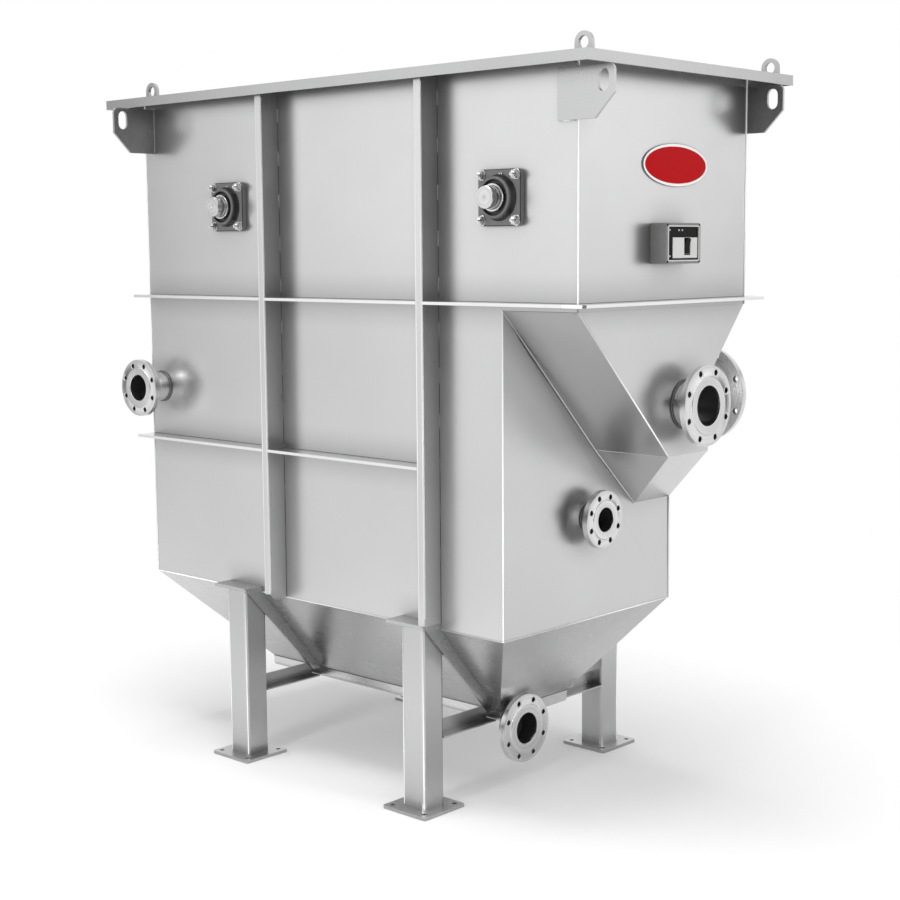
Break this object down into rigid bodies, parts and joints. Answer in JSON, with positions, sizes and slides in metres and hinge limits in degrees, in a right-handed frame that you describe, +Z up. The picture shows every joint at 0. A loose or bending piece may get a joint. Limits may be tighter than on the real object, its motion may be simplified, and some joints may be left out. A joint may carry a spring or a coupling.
{
  "type": "oil separator",
  "caption": "Welded stainless oil separator tank on legs, with a chain skimmer, a float hopper, a sludge hopper and flanged pipe nozzles.",
  "frame": {"origin": "on the floor, at the middle of the overall outline", "axes": "+Z up, +X towards the float hopper's end, -Y the long wall that the picture shows"},
  "size_m": [2.385, 1.2906, 2.534],
  "materials": {
    "sheet_steel": "brushed sheet",
    "bar_steel": "brushed bar",
    "turned_steel": "lathe turned",
    "shaft_steel": "ground",
    "chain_steel": "mill",
    "cast_iron": "painted casting",
    "motor_paint": "grey enamel",
    "box_plastic": "moulded",
    "switch_plastic": "moulded",
    "badge_enamel": "gloss enamel, bare"
  },
  "bodies": {
    "frame": {"tank_shell": "sheet_steel", "sludge_hopper": "sheet_steel", "sludge_trough": "sheet_steel", "float_hopper": "sheet_steel", "beach": "sheet_steel", "inlet_baffle": "sheet_steel", "top_rim": "bar_steel", "upper_rib_end": "bar_steel", "stiffener_near_left": "bar_steel", "stiffener_near_right": "bar_steel", "upper_rib_near_left": "bar_steel", "upper_rib_near_middle": "bar_steel", "upper_rib_near_right": "bar_steel", "lower_rib_near_left": "bar_steel", "lower_rib_near_middle": "bar_steel", "leg_near_left": "bar_steel", "slope_rib_near_left": "bar_steel", "cross_beam_near_left": "bar_steel", "lifting_eye_near_left": "bar_steel", "bracket_near_left": "bar_steel", "leg_near_right": "bar_steel", "slope_rib_near_right": "bar_steel", "cross_beam_near_right": "bar_steel", "lifting_eye_near_right": "bar_steel", "bracket_near_right": "bar_steel", "stiffener_far_left": "bar_steel", "stiffener_far_right": "bar_steel", "upper_rib_far_left": "bar_steel", "upper_rib_far_middle": "bar_steel", "upper_rib_far_right": "bar_steel", "lower_rib_far_left": "bar_steel", "lower_rib_far_middle": "bar_steel", "leg_far_left": "bar_steel", "slope_rib_far_left": "bar_steel", "cross_beam_far_left": "bar_steel", "lifting_eye_far_left": "bar_steel", "bracket_far_left": "bar_steel", "leg_far_right": "bar_steel", "slope_rib_far_right": "bar_steel", "cross_beam_far_right": "bar_steel", "lifting_eye_far_right": "bar_steel", "bracket_far_right": "bar_steel", "inlet_nozzle": "turned_steel", "outlet_nozzle": "turned_steel", "float_nozzle": "turned_steel", "sludge_nozzle": "turned_steel", "rear_nozzle": "turned_steel", "bearing_near_left": "cast_iron", "bearing_near_right": "cast_iron", "bearing_far_left": "cast_iron", "bearing_far_right": "cast_iron", "skimmer_chain": "chain_steel", "gear_motor": "motor_paint", "control_box": "box_plastic", "badge": "badge_enamel"},
    "drive": {"drive_shaft": "shaft_steel"},
    "idler": {"idler_shaft": "shaft_steel"},
    "rocker": {"switch_rocker": "switch_plastic"}
  },
  "joints": [
    {"name": "drive_turn", "type": "hinge", "parent": "frame", "child": "drive", "pos_m": [0.749, 0, 2.059], "axis": [0, 1, 0], "continuous": true},
    {"name": "idler_turn", "type": "hinge", "parent": "frame", "child": "idler", "pos_m": [-0.5845, 0, 2.059], "axis": [0, 1, 0], "continuous": true},
    {"name": "switch_rock", "type": "hinge", "parent": "frame", "child": "rocker", "pos_m": [1.1075, 0.028, 1.90498], "axis": [0, 1, 0], "range_deg": [-18, 0]}
  ],
  "couplings": [
    {"joint": "idler_turn", "follows": "drive_turn", "ratio": 1}
  ]
}
